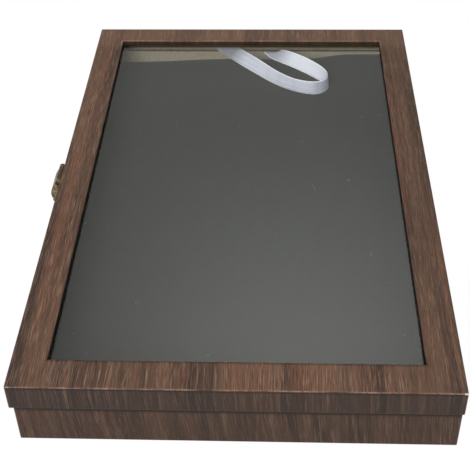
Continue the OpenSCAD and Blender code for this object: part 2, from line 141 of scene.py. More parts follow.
# %% Wires and finishes
class Wire:
    """One output of a finish. Arithmetic on it adds a Math node for each operation."""

    def __init__(self, finish, socket):
        self.finish = finish
        self.socket = socket

    def arithmetic(self, operation, first, second):
        """One Math node on two values or wires."""
        return self.finish.node("Math", {"operation": operation}, {0: first, 1: second})

    def __add__(self, other):
        return self.arithmetic("ADD", self, other)

    def __sub__(self, other):
        return self.arithmetic("SUBTRACT", self, other)

    def __mul__(self, other):
        return self.arithmetic("MULTIPLY", self, other)

    def __radd__(self, other):
        return self.arithmetic("ADD", other, self)

    def __rsub__(self, other):
        return self.arithmetic("SUBTRACT", other, self)

    def __rmul__(self, other):
        return self.arithmetic("MULTIPLY", other, self)

    def rise(self, low, high):
        """A smooth step from 0 at low to 1 at high, or falling where high is the smaller."""
        settings = {"interpolation_type": "SMOOTHSTEP"}
        low_end, high_end = (low, high) if low < high else (high, low)
        steps = {"Value": self, "From Min": low_end, "From Max": high_end}
        if low > high:
            steps.update({"To Min": 1.0, "To Max": 0.0})
        return self.finish.node("MapRange", settings, steps)

    def near(self, place, width):
        """A bump of 1 at place that fades to 0 within width on both sides."""
        gap = self.arithmetic("ABSOLUTE", self - place, 0.0)
        return gap.rise(width, 0.0)


class Finish:
    """The node network of a material or of the world."""

    def __init__(self, owner):
        self.owner = owner
        owner.use_nodes = True
        self.tree = owner.node_tree
        self.tree.nodes.clear()

    def node(self, kind, settings, sockets, output=0):
        """Adds a node: first its settings, then the values or wires of its sockets. Returns one output."""
        made = self.tree.nodes.new("ShaderNode" + kind)
        for name, value in settings.items():
            setattr(made, name, value)
        for name, value in sockets.items():
            if isinstance(value, Wire):
                self.tree.links.new(value.socket, made.inputs[name])
            else:
                made.inputs[name].default_value = value
        return Wire(self, made.outputs[output]) if made.outputs else None

    def part(self, vector, axis):
        """One of the three numbers of a vector."""
        return self.node("SeparateXYZ", {}, {"Vector": vector}, axis)

    def place_on_piece(self):
        """Where a point lies on its own piece, in metres."""
        return self.node("TexCoord", {}, {}, "Object")

    def kept(self, name, output="Fac"):
        """What the mesh keeps for a point under a name."""
        return self.node("Attribute", {"attribute_name": name}, {}, output)

    def ray(self, kind):
        """1 for rays of a kind, such as Camera, and 0 for all others."""
        return self.node("LightPath", {}, {}, "Is " + kind + " Ray")

    def mix(self, share, first, second):
        """Two colours by a share from 0 to 1. Among the sockets of a Mix node, 6 and 7 take colours, and
        output 2 gives one."""
        return self.node("Mix", {"data_type": "RGBA"}, {0: share, 6: first, 7: second}, 2)

    def clouds(self, place, scale, detail=2.0, rough=0.5):
        """Soft noise around 0.5, whose grains are 1 / scale long on each axis."""
        stretched = self.node("VectorMath", {"operation": "MULTIPLY"}, {0: place, 1: scale})
        sockets = {"Vector": stretched, "Scale": 1.0, "Detail": detail, "Roughness": rough}
        return self.node("TexNoise", {}, sockets)

    def bump(self, height, distance, strength, under=None):
        """A surface normal that leans as if the height, from 0 to 1, were distance metres tall. It can lie
        over another normal."""
        sockets = {"Height": height, "Distance": distance, "Strength": strength}
        if under is not None:
            sockets["Normal"] = under
        return self.node("Bump", {}, sockets)

    def body(self, sockets):
        """Ends the network in one surface shader, and returns the material."""
        surface = self.node("BsdfPrincipled", {}, sockets)
        self.node("OutputMaterial", {}, {"Surface": surface})
        return self.owner


def colour(red, green, blue):
    """A screen colour from 0 to 255 as the light it stands for: ((c + 0.055) / 1.055) ** 2.4."""
    share = np.array([red, green, blue]) / 255
    light = np.where(share > 0.04045, ((share + 0.055) / 1.055) ** 2.4, share / 12.92)
    return (*light.tolist(), 1.0)


def new_finish(name):
    """An empty finish on a new material."""
    return Finish(bpy.data.materials.new(name))


print("a wire takes +, - and * from either side")

# %% [markdown]
# ## The stay ribbon
#
# A white satin ribbon keeps the lid from falling back. One end is glued slantwise to the lid's back
# lining and the other is tucked behind the tray's. With the lid shut, the slack stands on its edge in a
# loop on the pad. The route repeats the stops of the solid, and a curve through them carries a thin
# cross-section. Cloth physics would find some loop, but not the one in the photograph.

# %% Ribbon route
ribbon_w = 0.012
ribbon_t = 0.0004
loop = 0.060
notch_x = 0.017
notch_depth = 0.0013
tail = 0.008
standoff = 0.0005
clearance = 0.0003
back_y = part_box("base_lining_back")[0].y
lid_back_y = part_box("lid_lining_back")[0].y
notch_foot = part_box("base_wrap_back")[1].z - notch_depth
strip_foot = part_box("pane_strip_back")[0].z
on_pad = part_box("pad_cloth")[1].z + ribbon_w / 2 + clearance
over_z = notch_foot + standoff
tuck_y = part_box("base_lining_back")[1].y + standoff

loop_stops = np.array([
    [-0.258, 0.043, -0.0005], [-0.133, 0.183, -0.0005], [0.1, 0.458, 0], [0.333, 0.717, 0],
    [0.567, 0.9, 0], [0.783, 0.983, 0], [0.95, 0.967, 0], [1.042, 0.85, 0], [1, 0.7, 0],
    [0.85, 0.508, 0], [0.65, 0.317, 0], [0.467, 0.167, -0.0005], [0.35, 0.075, -0.0010],
])
loop_part = loop_stops * [loop, -loop, 1] + [0, back_y, on_pad]
lid_part = [
    [-0.428 * loop, lid_back_y - ribbon_t, strip_foot - ribbon_t],
    [-0.345 * loop, back_y - ribbon_t, strip_foot - 0.32 * ribbon_w],
]
tray_part = [
    [notch_x, back_y - 0.0009, over_z + standoff], [notch_x, back_y + 0.0004, over_z],
    [notch_x, tuck_y, notch_foot - 0.0003], [notch_x, tuck_y, notch_foot - tail],
]
middle_stops = np.vstack([lid_part, loop_part, tray_part])
width_stops = np.array([
    [1.48, 0, 0], [0.8, 0.15, 0.55], [0.68, 0.25, 0.69], [0.5, 0.3, 0.81], [0.33, 0.25, 0.91],
    [0.15, 0.12, 0.98], [0, 0, 1], [0, 0, 1], [-0.06, 0.06, 1], [-0.1, 0, 1], [0.08, 0.2, 0.98],
    [0.25, 0.33, 0.91], [0.36, 0.34, 0.87], [0.48, 0.2, 0.85], [0.75, 0.1, 0.65], [0.99, 0.05, 0.1],
    [1, 0, 0], [1, 0, 0], [1, 0, 0],
])
print("ribbon route has", len(middle_stops), "stops")

# %% [markdown]
# A woven ribbon is a flat strip, so its surface is a lattice: rows along the route, and columns across
# the upper face and back under the lower one. The stops also say which way the width points, since the
# ribbon lies flat at both ends and stands on its edge between them.


# %% Ribbon surface
def through(stops, steps):
    """A smooth curve through stops: between b and c, with a before and d after, the point at t is
    half of 2b + (c - a) t + (2a - 5b + 4c - d) t^2 + (3b - a - 3c + d) t^3."""
    padded = np.vstack([stops[:1], stops, stops[-1:]])
    a, b, c, d = (padded[k:len(padded) - 3 + k, None, :] for k in range(4))
    t = (np.arange(steps) / steps)[None, :, None]
    curve = 2 * b + (c - a) * t + (2 * a - 5 * b + 4 * c - d) * t**2 + (3 * b - a - 3 * c + d) * t**3
    return np.vstack([0.5 * curve.reshape(-1, 3), stops[-1:]])


def unit(rows):
    """Rows scaled to a length of 1."""
    return rows / np.linalg.norm(rows, axis=-1, keepdims=True)


def ribbon_lattice(middle, width, thick, columns=13):
    """Rows along the middle line, columns over the upper face and back under the lower one. At share a
    across, from -1 to 1, a point lies at middle + a * width + lift * face, where face stands square to
    the line and to the width, and lift is half the thickness, a third of it at the two edges, with a
    slight cupping of 0.2 mm * (1 - a^2)."""
    face = unit(np.cross(np.gradient(middle, axis=0), width))
    a = np.linspace(-1, 1, columns)
    half = thick / 2 * (0.35 + 0.65 * (1 - a**8))
    cup = 0.0002 * (1 - a**2)
    share = np.concatenate([a, a[::-1]])
    lift = np.concatenate([cup + half, (cup - half)[::-1]])
    points = middle[:, None] + share[None, :, None] * width[:, None] + lift[None, :, None] * face[:, None]
    return points, share


steps_between = 12
ribbon_middle = through(middle_stops, steps_between)
ribbon_width = through(width_stops, steps_between) * ribbon_w / 2
ribbon_points, ribbon_share = ribbon_lattice(ribbon_middle, ribbon_width, ribbon_t)
stretch = np.linalg.norm(np.diff(ribbon_middle, axis=0), axis=1)
run = np.concatenate([[0], np.cumsum(stretch)])
rows, columns = ribbon_points.shape[:2]
numbers = np.arange(rows * columns).reshape(rows, columns)
body_cells = cells_of(numbers, close_columns=True)
end_first = cells_of(np.vstack([numbers[0, columns // 2 - 1::-1], numbers[0, columns // 2:]]))
end_last = cells_of(np.vstack([numbers[-1, columns // 2:], numbers[-1, columns // 2 - 1::-1]]))
ribbon_cells = np.vstack([body_cells, end_first, end_last])
flat_place = np.stack(np.broadcast_arrays(ribbon_share[None, :] * ribbon_w / 2, run[:, None]), axis=-1)
ribbon = make_piece("satin_stay", ribbon_points, ribbon_cells, flat_place.reshape(-1, 2)[ribbon_cells])
print("ribbon is", round(run[-1] * 1000, 1), "mm long")

# %% [markdown]
# For the finish, every point of the ribbon keeps how sharply the route bends there and which face of
# the ribbon it lies on. The ribbon's solid is hidden, and the new piece keeps its place in the world.

# %% Ribbon bend and faces
turning = np.gradient(unit(np.gradient(ribbon_middle, axis=0)), run, axis=0)
bend = np.clip(np.linalg.norm(turning, axis=1) * ribbon_w, 0, 1)
bend_of = ribbon.data.attributes.new("bend", "FLOAT", "POINT")
bend_of.data.foreach_set("value", np.repeat(bend, columns).astype(np.float32))
matt = ribbon.data.attributes.new("matt", "FLOAT", "POINT")
matt.data.foreach_set("value", np.tile(np.repeat([0.0, 1.0], columns // 2), rows).astype(np.float32))
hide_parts("stay_ribbon")
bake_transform(ribbon)

# %% [markdown]
# Satin looks the way it does because long threads float over its face: they run along the ribbon and
# shine in a soft band. Fine lines along the length, a slight lean of the normal and a low sheen give
# that. The two woven edges are a little denser, and they are painted brighter as a painted highlight.
# Only one face has the floating threads: the back, which shows inside the loop, is matt and whiter.
# Where the ribbon bends it is painted greyer as painted shade, so the bend of the route is kept as an
# attribute, and the slow folds are painted darker as painted shade too. The end on the lid is painted
# darker as painted shade under the lid's frame, and the end at the rim as painted shade from the rim.

# %% Satin finish
satin = new_finish("satin_ribbon")
place = satin.node("UVMap", {"uv_map": "sheet"}, {})
across = satin.part(place, "X")
along = satin.part(place, "Y")
floats = satin.clouds(place, (9000, 260, 1), 2)
threads = satin.clouds(place, (1100, 22, 1), 2)
ridges = satin.clouds(place, (700, 1900, 1), 1)
creases_and_shade = satin.clouds(place, (40, 110, 1), 2)
edge_begins = 0.0049
edge_full = 0.0056
edge = (across * across).rise(edge_begins**2, edge_full**2)
back = satin.kept("matt")
bend_shade = satin.kept("bend")
tone = satin.mix(floats.rise(0.3, 0.7), colour(214, 216, 232), colour(234, 235, 249))
tone = satin.mix(threads.rise(0.4, 0.62) * 0.5, tone, colour(178, 179, 205))
# Painted shade: darker lavender where the slow folds of the noise rise.
tone = satin.mix(creases_and_shade.rise(0.45, 0.75) * 0.4, tone, colour(190, 192, 212))
tone = satin.mix(back * 0.5, tone, colour(244, 244, 253))
# Painted shade: greyer where the ribbon bends.
tone = satin.mix(bend_shade.rise(0.35, 0.9) * 0.75, tone, colour(168, 169, 190))
length = float(run[-1])
# Painted shade: greyer towards the end at the rim, in the shade of the lid's rim.
rim_end_shade = along.rise(length - 0.034, length - 0.014)
tone = satin.mix(rim_end_shade * 0.75, tone, colour(138, 137, 154))
# The woven edges are denser, and they are painted brighter here as a painted highlight.
tone = satin.mix(edge * 0.7, tone, colour(252, 252, 253))
# Painted shade: darker towards the glued end, under the lid's frame.
tone = satin.mix(along.rise(0.032, 0.008) * 0.8, tone, colour(118, 116, 120))
satin_material = satin.body({
    "Base Color": tone,
    "Roughness": 0.34 + floats * 0.16 + back * 0.25,
    "Sheen Weight": 0.25,
    "Sheen Roughness": 0.4,
    "Specular IOR Level": 0.45,
    "Normal": satin.bump(floats * 0.6 + ridges * 0.4 + creases_and_shade * 2, 0.00018, 0.6),
})
ribbon.data.materials.append(satin_material)
print("satin has", len(satin.tree.nodes), "nodes")

# %% [markdown]
# ## The paper skins
#
# Printed paper covers the lid's frame: it lies on top, folds down over the window's edge on the inside and
# over the outer edge down the skirt, and turns in underneath. It is glued on in four strips, one to a
# side, with their grain the same way. Their joints hardly show, so one skin stands for all four, and a
# second skin for those of the tray. Each is made as a profile carried round a rectangle. Seen flat, the
# paper keeps one grain direction, front to back, so the lattice also keeps every point's place there.

# %% Profile helpers
def rounded_line(corners, radii, turn=7, straight=22):
    """A line through corners with its inner corners turned into arcs. With s = 1 - t and w = 1 / sqrt(2),
    the arc from A to B round a corner C is (s^2 A + 2 w s t C + t^2 B) / (s^2 + 2 w s t + t^2), a quarter
    circle. Straight stretches are cut finer towards their ends."""
    corners = np.asarray(corners, float)
    heading = unit(np.diff(corners, axis=0))
    radius = np.asarray(radii, float)[:, None]
    before = corners[1:-1] - radius * heading[:-1]
    after = corners[1:-1] + radius * heading[1:]
    t = np.linspace(0, 1, turn)[None, :, None]
    weight = np.sqrt(0.5) * 2 * t * (1 - t)
    arcs = (1 - t) ** 2 * before[:, None] + weight * corners[1:-1, None] + t**2 * after[:, None]
    arcs = arcs / ((1 - t) ** 2 + weight + t**2)
    starts = np.vstack([corners[:1], after])
    ends = np.vstack([before, corners[-1:]])
    cut = (0.5 - 0.5 * np.cos(np.pi * np.arange(1, straight + 1) / (straight + 1)))[None, :, None]
    runs = starts[:, None] * (1 - cut) + ends[:, None] * cut
    joined = [part for pair in zip(runs[:-1], arcs) for part in pair]
    return np.vstack([corners[:1], *joined, runs[-1], corners[-1:]])


def round_the_case(half_w, half_d, profile, corner, bend=7, side=36):
    """A profile of insets and heights carried round a rectangle. Inset by u, the rectangle keeps a corner
    radius of corner - u, never under 0.02 mm, so that its corners stay mitred. Columns run front, hinge
    side, back, latch side, each after the bend that leads to it. Also gives the side of every column
    gap: 0 front, 1 hinge, 2 back, 3 latch."""
    inset = profile[:, :1]
    radius = np.maximum(corner - inset, 0.00002)
    middle = np.concatenate([half_w - inset - radius, half_d - inset - radius], axis=1)
    quarter = np.linspace(0, np.pi / 2, bend)
    cut = np.arange(1, side + 1) / (side + 1)
    signs = np.array([[-1, -1], [1, -1], [1, 1], [-1, 1]])
    parts = []
    for k in range(4):
        angle = np.pi + k * np.pi / 2 + quarter
        circle = np.stack([np.cos(angle), np.sin(angle)], axis=-1)
        arc = (middle * signs[k])[:, None] + radius[:, :, None] * circle
        onward = np.pi + (k + 1) * np.pi / 2
        there = middle * signs[(k + 1) % 4] + radius * [np.cos(onward), np.sin(onward)]
        line = arc[:, -1:] * (1 - cut)[None, :, None] + there[:, None] * cut[None, :, None]
        parts += [arc, line]
    plan = np.concatenate(parts, axis=1)
    height = np.broadcast_to(profile[:, None, 1:], plan.shape[:2] + (1,))
    gaps = [np.r_[np.full(bend // 2, (k - 1) % 4), np.full(bend // 2 + side + 1, k)] for k in range(4)]
    return np.concatenate([plan, height], axis=2), np.concatenate(gaps)


print("a square corner becomes", len(rounded_line([[0, 0], [1, 0], [1, 1]], [0.2])), "points")

# %% [markdown]
# Paper has a thickness, so a skin is closed: an outer line, an inner line one thickness under it, and the
# way round the case. Two things are kept for the finish. One is the place on the flat sheet, which
# carries the print. The other is how far a point lies from the sheet's folds, where paper wears.


# %% Paper skin
def paper_skin(name, low, high, outer, inner, flat, shift, start, slant):
    """A closed thin skin: the outer line and the inner line one paper thickness under it, joined into one
    loop and carried round. On the flat sheet, a point of a side lies at the case's edge plus flat, which
    counts inwards from that edge, and down the front and back the sheet runs askew by slant. The fold
    attribute keeps three distances along the sheet: down from the upper edge, counted from start, from
    the nearest upright edge, negative on the two long sides, and up from the lower edge."""
    half_w, half_d = (high[:2] - low[:2]) / 2
    middle = np.append((high[:2] + low[:2]) / 2, 0)
    profile = np.vstack([outer, inner[::-1]])
    place = np.concatenate([flat, flat[::-1]])
    points, gap_side = round_the_case(half_w, half_d, profile, corner=0.0009)
    rows, columns = points.shape[:2]
    numbers = np.arange(rows * columns).reshape(rows, columns)
    cells = cells_of(numbers, close_rows=True, close_columns=True)
    side = np.tile(gap_side, rows)[:, None]
    row = cells // columns
    x, y = points.reshape(-1, 3)[cells][..., 0], points.reshape(-1, 3)[cells][..., 1]
    inward = place[row]
    askew = x + slant * np.minimum(inward, 0)
    u = np.choose(side, [askew, half_w - inward, askew, inward - half_w])
    v = np.choose(side, [inward - half_d, y, half_d - inward, y])
    piece = make_piece(name, points + middle, cells, np.stack([u, v], axis=-1) + shift)
    ring = points[np.argmin(profile[:, 0])]
    to_x, to_y = half_w - np.abs(ring[:, 0]), half_d - np.abs(ring[:, 1])
    upright = np.where(to_x > to_y, to_x, -to_y)
    down = np.broadcast_to(start - place[:, None], (rows, columns))
    up = np.broadcast_to((profile[:, 1:] - profile[:, 1].min()), (rows, columns))
    fold = np.stack([down, np.broadcast_to(upright[None, :], down.shape), up], axis=-1)
    attribute = piece.data.attributes.new("fold", "FLOAT_VECTOR", "POINT")
    attribute.data.foreach_set("vector", np.ascontiguousarray(fold, np.float32).ravel())
    return piece


def sheet_run(line):
    """The distance along a line from its first point to every point."""
    return np.concatenate([[0], np.cumsum(np.linalg.norm(np.diff(line, axis=0), axis=1))])


paper = 0.0003
sides = ("front", "back", "latch", "hinge")
print("paper is", paper * 1000, "mm thick")

# %% [markdown]
# The lid's profile starts under the foot of the skirt, goes up its outside, over the frame and down into
# the window. Its lengths come from the boxes of the solids, so the skin keeps to their size. Where the
# paper turns, an arc of less than a millimetre makes the fold.

# %% Lid skin
lid_wraps = ["lid_wrap_" + side for side in sides]
lid_low, lid_high = reach(*lid_wraps)
frame_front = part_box("lid_wrap_front")
border = frame_front[1].y - frame_front[0].y
skirt_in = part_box("lid_skirt_front")[1].y - lid_low[1]
face_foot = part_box("lid_face_front")[0].z
lid_radii = np.array([0.0007, 0.0009, 0.0008])
lid_outer = rounded_line(
    [[skirt_in, lid_low[2]], [0, lid_low[2]], [0, lid_high[2]], [border, lid_high[2]], [border, face_foot]],
    lid_radii,
)
lid_inner = rounded_line(
    [
        [skirt_in, lid_low[2] + paper], [paper, lid_low[2] + paper], [paper, lid_high[2] - paper],
        [border - paper, lid_high[2] - paper], [border - paper, face_foot],
    ],
    lid_radii - paper,
)
lid_run = sheet_run(lid_outer)
on_top = np.argmin(np.abs(lid_outer[:, 0] - border / 2) + 10 * (lid_high[2] - lid_outer[:, 1]))
lid_flat = lid_run - lid_run[on_top] + lid_outer[on_top, 0]
lid_at = (0, 0)
lid_start = 0
lid_slant = 0.03
lid_skin = paper_skin(
    "lid_paper", lid_low, lid_high, lid_outer, lid_inner, lid_flat, lid_at, lid_start, lid_slant
)
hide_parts(*lid_wraps)
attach(lid_skin, "lid")

# %% [markdown]
# The tray's profile goes over the rim, down the wall and under the foot. Its print comes from another
# place on the sheet, and its folds are counted from a start of its own, so that the finish can tell tray
# from lid.

# %% Tray skin
tray_wraps = ["base_wrap_" + side for side in sides]
tray_low, tray_high = reach(*tray_wraps)
wall_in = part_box("base_wall_front")[1].y - tray_low[1]
tray_radii = np.array([0.0008, 0.0008])
tray_outer = rounded_line(
    [[wall_in, tray_high[2]], [0, tray_high[2]], [0, tray_low[2]], [wall_in, tray_low[2]]],
    tray_radii,
)
tray_inner = rounded_line(
    [
        [wall_in, tray_high[2] - paper], [paper, tray_high[2] - paper],
        [paper, tray_low[2] + paper], [wall_in, tray_low[2] + paper],
    ],
    tray_radii - paper,
)
tray_flat = wall_in - sheet_run(tray_outer)
tray_at = (0.41, 0.23)
tray_start = 0.1
tray_slant = 0.1
tray_skin = paper_skin(
    "tray_paper", tray_low, tray_high, tray_outer, tray_inner, tray_flat, tray_at, tray_start, tray_slant
)
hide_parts(*tray_wraps)
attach(tray_skin, "tray")

# %% [markdown]
# Printed walnut is streaks over streaks: broad bands a couple of centimetres wide, narrower figure and
# strands, fine light and dark lines, and short pressed pores. Each layer is soft noise, stretched along
# the grain and made to wander a little. The upright faces are painted darker as painted shade, and their
# lines are fainter. The far border is a little paler.

# %% Walnut paper finish
walnut = new_finish("walnut_paper")
place = walnut.node("UVMap", {"uv_map": "sheet"}, {})
wander = walnut.clouds(place, (11, 3.2, 1), 2) - 0.5
ripple = walnut.clouds(place, (60, 18, 1), 2) - 0.5
sway = walnut.node("CombineXYZ", {}, {"X": wander * 0.008 + ripple * 0.0007})
along = walnut.node("VectorMath", {"operation": "ADD"}, {0: place, 1: sway})
bands = walnut.clouds(along, (62, 2.2, 1), 2)
figure = walnut.clouds(along, (230, 9, 1), 3, 0.6)
lines = walnut.clouds(along, (1700, 60, 1), 2, 0.6)
pores = walnut.clouds(along, (2400, 120, 1), 2, 0.6)
warmth = walnut.clouds(along, (80, 2.4, 1), 2)
strands = walnut.clouds(along, (420, 4.5, 1), 2, 0.6)
fold = walnut.kept("fold", "Vector")
down = walnut.part(fold, "X")
upright = walnut.part(fold, "Y")
up = walnut.part(fold, "Z")
to_right = walnut.part(place, "X")
to_back = walnut.part(place, "Y")
on_face = down.rise(-0.0004, 0.0004)
tray_face = down.rise(tray_start - 0.05, tray_start - 0.04)
soft_print = (1 - on_face * 0.7 + tray_face * 0.3) * (1 - to_right.rise(0.06, 0.115) * 0.35)
drawn = (0.4 + figure.rise(0.38, 0.62) * 0.6) * soft_print
tone = walnut.mix(bands.rise(0.34, 0.66), colour(61, 47, 41), colour(100, 75, 61))
tone = walnut.mix(warmth.rise(0.46, 0.7) * 0.6, tone, colour(104, 68, 53))
# Painted shade: the upright faces of lid and tray are painted darker.
shade = walnut.mix(tray_face, colour(36, 29, 26), colour(37, 26, 18))
tone = walnut.mix(on_face * (0.8 - tray_face * 0.11), tone, shade)
tone = walnut.mix(strands.rise(0.5, 0.72) * (0.45 - on_face * 0.27), tone, colour(122, 88, 68))
tone = walnut.mix(strands.rise(0.46, 0.26) * (0.32 - on_face * 0.16), tone, colour(58, 41, 35))
tone = walnut.mix(figure.rise(0.5, 0.75) * (0.4 - on_face * 0.12), tone, colour(112, 87, 72))
tone = walnut.mix(figure.rise(0.48, 0.25) * 0.38, tone, colour(50, 37, 31))
tone = walnut.mix(lines.rise(0.48, 0.7) * drawn * 0.78, tone, colour(141, 114, 98))
tone = walnut.mix(lines.rise(0.47, 0.27) * drawn * 0.62, tone, colour(39, 28, 22))
tone = walnut.mix(pores.rise(0.56, 0.74) * drawn * 0.6, tone, colour(35, 25, 20))
back_border = to_back.rise(0.165, 0.185) * (1 - on_face)
tone = walnut.mix(back_border * 0.16, tone, colour(150, 118, 100))
print("printed paper has", len(walnut.tree.nodes), "nodes")

# %% [markdown]
# A fold is where paper shows its age. Where it turns an edge it is rubbed paler, and along the upper edge
# and the window's far edge it also gets a painted highlight. Under the upper edge, and on the tray just
# under the lid, it gets a dark line of painted shade, and the window's near edge gets painted shade too.
# At the corners a little of the white core shows, most at one chipped corner. Down inside the window it
# is painted near black as painted shade, a little less on the far side. The distances that the skins
# keep say where all this is, and noise breaks it up. Two bumps lie over each other: the pressed grain,
# and a slow swell of the glued sheet.

# %% Worn folds, painted highlights and painted shade
specks = walnut.clouds(place, (420, 420, 1), 3, 0.7)
worn = walnut.clouds(place, (45, 45, 1), 2).rise(0.35, 0.62)
window_edge = -0.0206
near_border = to_back.rise(-0.17, -0.177)
far_border = to_back.rise(0.17, 0.176)
upper_edge = down.near(0.0001, 0.0006)
lower_edge = up.near(0.0002, 0.0009) * on_face
corner_edge = upright.near(0.0, 0.0012) * on_face
under_edge_shade = down.near(0.0014, 0.0011) + down.near(tray_start, 0.0042) * 1.8
window_edge_shade = down.near(window_edge, 0.0024) * near_border
window_edge_highlight = down.near(window_edge + 0.0007, 0.0008) * far_border * worn
window_shade = down.rise(window_edge, window_edge - 0.0007) * (1 - far_border * 0.3)
rubbed_and_highlight = (upper_edge * worn + corner_edge * 0.4 + lower_edge * 0.2) * specks.rise(0.3, 0.62)
chip = down.near(0.0002, 0.0009) * to_right.rise(0.1242, 0.1254) * to_back.rise(-0.198, -0.199)
bare = upper_edge * upright.near(0.0, 0.0045) * specks.rise(0.5, 0.6) + chip
seam = upright.near(0.0042, 0.00022) * on_face
# Painted shade: a dark line under the upper edge, and on the tray just under the lid.
tone = walnut.mix(under_edge_shade * 0.65, tone, colour(28, 20, 17))
# Painted shade along the window's near edge.
tone = walnut.mix(window_edge_shade * 0.5, tone, colour(32, 24, 21))
# Rubbed wear, and a painted highlight along the edges.
tone = walnut.mix(rubbed_and_highlight * 0.5, tone, colour(186, 158, 138))
# Painted highlight along the window's far edge.
tone = walnut.mix(window_edge_highlight * 0.45, tone, colour(176, 146, 122))
tone = walnut.mix(bare * 0.9, tone, colour(222, 214, 204))
# Painted shade: near black down inside the window, a little less on the far side.
tone = walnut.mix(window_shade, tone, colour(8, 6, 5))
tone = walnut.mix(seam * 0.5, tone, colour(50, 36, 31))
press = lines * 0.5 + figure * 0.3 - pores.rise(0.52, 0.7) * 0.8
swell = walnut.clouds(place, (26, 26, 1), 1)
pressed = walnut.bump(press, 0.00016, 0.8)
pressed = walnut.bump(swell - seam * 0.2, 0.0006, 0.5, pressed)
walnut_material = walnut.body({
    "Base Color": tone,
    "Roughness": 0.5 + lines * 0.12 - rubbed_and_highlight * 0.08,
    "Specular IOR Level": 0.22,
    "Normal": pressed,
})
lid_skin.data.materials.append(walnut_material)
tray_skin.data.materials.append(walnut_material)
print("walnut paper has", len(walnut.tree.nodes), "nodes")

# %% [markdown]
# ## The pin pad
#
# Pins are pushed into a slab of soft foam under dark grey cloth. The cloth is pulled round the edges, so
# the top is a low crown with rolled edges, not a flat plate, and it lies a little uneven in the tray. A
# grid makes the top, rings of the same edge points roll it over and down, and a second grid closes it.

# %% Pad surface
def pad_lift(x, y, half_w, half_d):
    """How far the pad's top stands off its level: a fall of 0.9 mm * exp(-d / 5 mm) at a distance d from
    the edges, a lean that rises 4.8 mm to the back right corner and sinks 3 mm to the back left, slow
    waves of 0.15 mm, and 0.1 mm lower in all."""
    to_edge = np.minimum(half_w - np.abs(x), half_d - np.abs(y))
    fall = -0.0009 * np.exp(-to_edge / 0.005)
    right = np.clip((x - 0.040) / 0.045, 0, 1)
    left = np.clip((-0.020 - x) / 0.080, 0, 1)
    back = np.clip((y - 0.02) / 0.15, 0, 1)
    lean = back * (0.0048 * right**2 * (3 - 2 * right) - 0.0030 * left**2 * (3 - 2 * left))
    waves = 0.00015 * np.sin(31 * x + 0.7) * np.sin(23 * y + 1.9)
    return fall + lean + waves - 0.0001


def pad_points(low, high, roll=0.0025, pull=0.0003, across=70, along=108, turns=6, drops=5):
    """The top grid, then rings that turn the roll through a quarter circle, drop down the side and pull
    in by pull * sin(pi * share) on the way, then the bottom grid. Returns points and cells."""
    half_w, half_d = (high[:2] - low[:2]) / 2
    x, y = np.meshgrid(
        np.linspace(-1, 1, across) * (half_w - roll), np.linspace(-1, 1, along) * (half_d - roll)
    )
    top = np.stack([x, y, high[2] + pad_lift(x, y, half_w, half_d)], axis=-1)
    bottom = np.stack([x, y, np.full_like(x, low[2])], axis=-1)
    grid = np.arange(across * along).reshape(along, across)
    edge = np.concatenate([grid[0, :-1], grid[:-1, -1], grid[-1, :0:-1], grid[:0:-1, 0]])
    rim = top.reshape(-1, 3)[edge]
    inner = np.array([half_w, half_d]) - roll
    outward = np.where(np.abs(np.abs(rim[:, :2]) - inner) < 1e-9, np.sign(rim[:, :2]), 0)
    outward = outward / np.maximum(np.linalg.norm(outward, axis=1, keepdims=True), 1e-9)
    turn = np.linspace(0, np.pi / 2, turns + 1)[1:]
    share = np.linspace(0, 1, drops + 1)[1:]
    out = np.concatenate([roll * np.sin(turn), roll - pull * np.sin(np.pi * share)])
    fallen = np.concatenate([roll * (1 - np.cos(turn)), np.full(drops, roll)])
    rings = np.repeat(rim[None], len(out), axis=0)
    rings[:, :, :2] += outward[None] * out[:, None, None]
    rings[:, :, 2] -= fallen[:, None]
    rings[turns:, :, 2] = rings[turns:, :, 2] * (1 - share[:, None]) + low[2] * share[:, None]
    count = across * along
    ring_numbers = count + np.arange(rings.shape[0] * rings.shape[1]).reshape(rings.shape[:2])
    bottom_numbers = count + ring_numbers.size + grid
    sides = np.vstack([edge[None], ring_numbers, (edge + count + ring_numbers.size)[None]])
    around = cells_of(sides, close_columns=True)[:, ::-1]
    cells = np.vstack([cells_of(grid), around, cells_of(bottom_numbers)[:, ::-1]])
    return np.vstack([top.reshape(-1, 3), rings.reshape(-1, 3), bottom.reshape(-1, 3)]), cells


pad_low, pad_high = reach("pad_foam", "pad_cloth")
pad = make_piece("pin_pad", *pad_points(pad_low, pad_high))
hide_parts("pad_foam", "pad_cloth")
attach(pad, "tray")

# %% [markdown]
# The cloth is a close brushed weave, almost without shine. Two sets of fine threads cross at half a
# millimetre, a soft mottle shows how it was brushed, and here and there lies a speck of lint.

# %% Pad cloth finish
cloth = new_finish("pad_cloth")
place = cloth.place_on_piece()
warp = cloth.clouds(place, (2100, 330, 330), 2)
weft = cloth.clouds(place, (330, 2100, 330), 2)
nap = cloth.clouds(place, (60, 60, 60), 3, 0.6)
patch = cloth.clouds(place, (9, 7, 9), 2)
lint = cloth.clouds(place, (520, 520, 520), 1).rise(0.73, 0.77)
thread = warp * 0.5 + weft * 0.5
tone = cloth.mix(thread.rise(0.36, 0.64), colour(27, 28, 26), colour(38, 39, 36))
tone = cloth.mix(nap.rise(0.4, 0.75) * 0.35, tone, colour(43, 43, 40))
tone = cloth.mix(patch.rise(0.35, 0.7) * 0.3, tone, colour(30, 31, 29))
tone = cloth.mix(lint * 0.6, tone, colour(120, 119, 115))
cloth_material = cloth.body({
    "Base Color": tone,
    "Roughness": 0.86 + nap * 0.12,
    "Sheen Weight": 0.12,
    "Sheen Roughness": 0.5,
    "Specular IOR Level": 0.2,
    "Normal": cloth.bump(thread + nap * 0.8, 0.0003, 0.7),
})
pad.data.materials.append(cloth_material)
print("pad cloth has", len(cloth.tree.nodes), "nodes")

